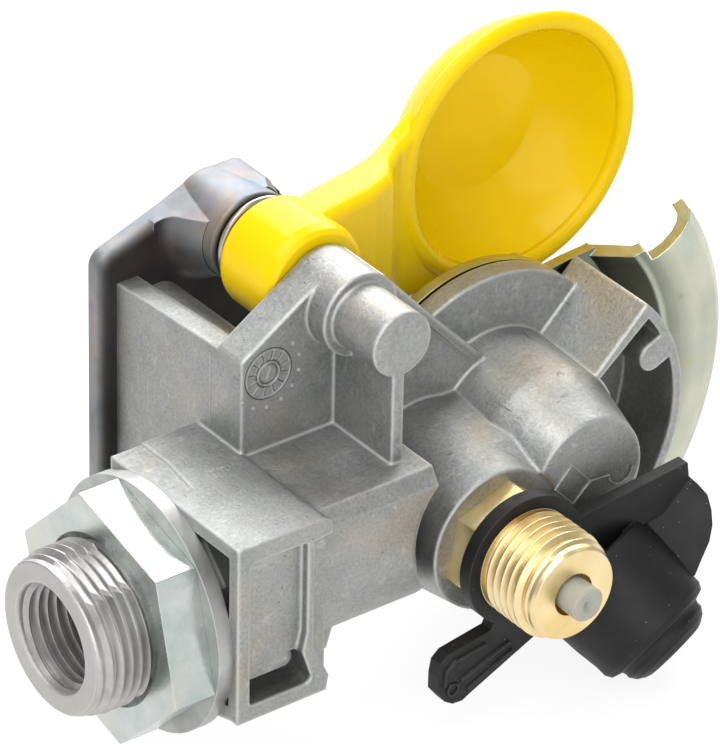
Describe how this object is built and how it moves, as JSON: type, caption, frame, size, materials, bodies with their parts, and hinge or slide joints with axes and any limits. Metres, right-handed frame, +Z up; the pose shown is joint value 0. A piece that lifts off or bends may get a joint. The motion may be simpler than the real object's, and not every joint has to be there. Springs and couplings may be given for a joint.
{
  "type": "pneumatic quick coupling",
  "caption": "Palm coupling head for an air-brake line: threaded bulkhead stud with lock nut, swinging cover, claw plate, filter inside and a capped test connection.",
  "frame": {"origin": "on the stud's axis, in the plane of the body where the washer seats", "axes": "+X along the stud towards the palm end, +Y the way the palm face looks, +Z up"},
  "size_m": [0.1211, 0.0697, 0.0799],
  "materials": {
    "cast_aluminium": "as-cast, satin and mottled",
    "zinc_nut": "bright zinc plated",
    "dull_steel": "dull rolled steel",
    "tinted_steel": "pressed sheet with heat tint",
    "bright_steel": "bright turned steel",
    "spring_steel": "drawn wire",
    "yellow_zinc": "pale yellow passivated zinc",
    "yellow_plastic": "glossy moulded",
    "brass": "turned",
    "nylon": "milky moulded nylon",
    "filter_medium": "sintered granules",
    "seal_rubber": "moulded, smooth",
    "cap_rubber": "moulded, matte"
  },
  "bodies": {
    "body": {"body_casting": "cast_aluminium", "lock_nut": "zinc_nut", "flat_washer": "dull_steel", "stop_plate": "tinted_steel", "stop_plate_screws": "bright_steel", "lid_pin": "bright_steel", "pin_retaining_ring": "spring_steel", "lid_spring": "spring_steel", "claw_plate": "yellow_zinc", "claw_plate_screws": "bright_steel", "palm_seal": "seal_rubber", "seal_retaining_ring": "bright_steel", "snap_ring": "spring_steel", "filter_top_ring": "brass", "filter_o_ring": "seal_rubber", "filter_element": "filter_medium", "filter_spring_seat": "bright_steel", "filter_spring": "spring_steel", "test_fitting": "brass", "test_fitting_seal": "seal_rubber", "test_valve_retainer": "brass", "test_valve_spring": "spring_steel", "rubber_cap": "cap_rubber"},
    "lid": {"lid": "yellow_plastic"},
    "test_core": {"test_valve_core": "nylon", "test_valve_seal": "seal_rubber"}
  },
  "joints": [
    {"name": "lid_swing", "type": "hinge", "parent": "body", "child": "lid", "pos_m": [0.0315, 0, 0.036], "axis": [0, 1, 0], "range_deg": [-60, 45]},
    {"name": "test_core_press", "type": "slide", "parent": "body", "child": "test_core", "axis": [0, 1, 0], "range_m": [0, 0.0025], "stiffness_N_per_m": 800, "springref_m": -0.003, "deforming": ["test_valve_spring"]}
  ]
}
